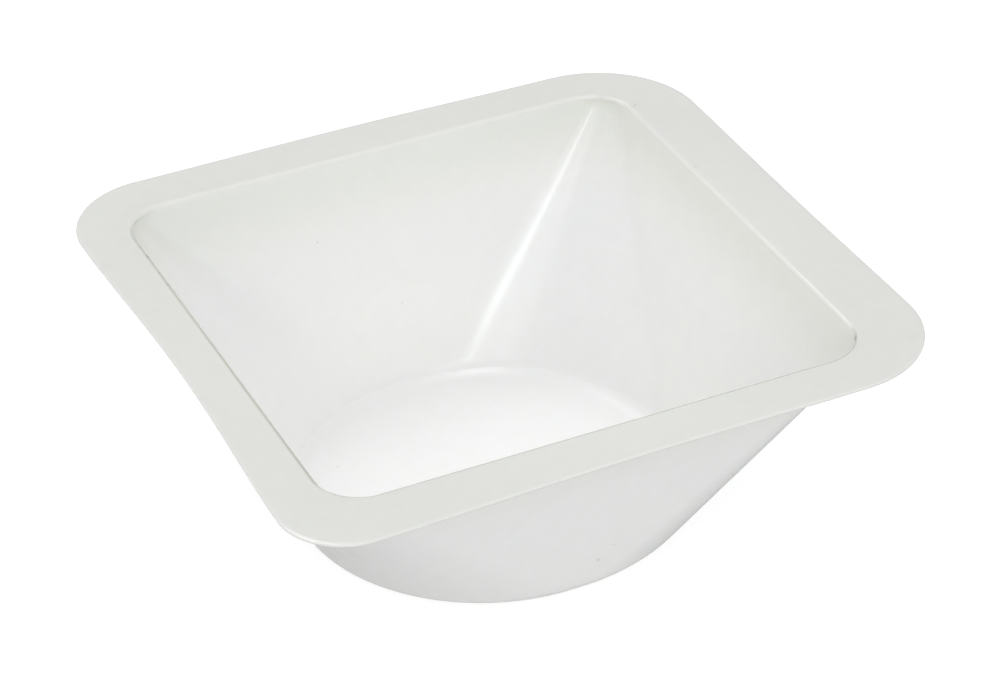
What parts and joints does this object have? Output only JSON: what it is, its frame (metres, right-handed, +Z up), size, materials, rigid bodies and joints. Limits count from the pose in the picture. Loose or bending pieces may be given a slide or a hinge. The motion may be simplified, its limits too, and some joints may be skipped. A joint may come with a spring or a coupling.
{
  "type": "weighing boat",
  "caption": "Square weighing boat: one thin white plastic sheet formed into a bowl with a rounded square mouth, a round flat base and a flat flange.",
  "frame": {"origin": "on the surface that the boat stands on, under the centre of the flange's outline", "axes": "+Z up out of the bowl; X and Y along the flange's edges, with the bowl trimmed slightly towards -X"},
  "size_m": [0.086, 0.086, 0.0315],
  "materials": {
    "sheet": "satin white polystyrene, slightly translucent"
  },
  "bodies": {
    "root": {"weighing_boat": "sheet"}
  },
  "joints": []
}
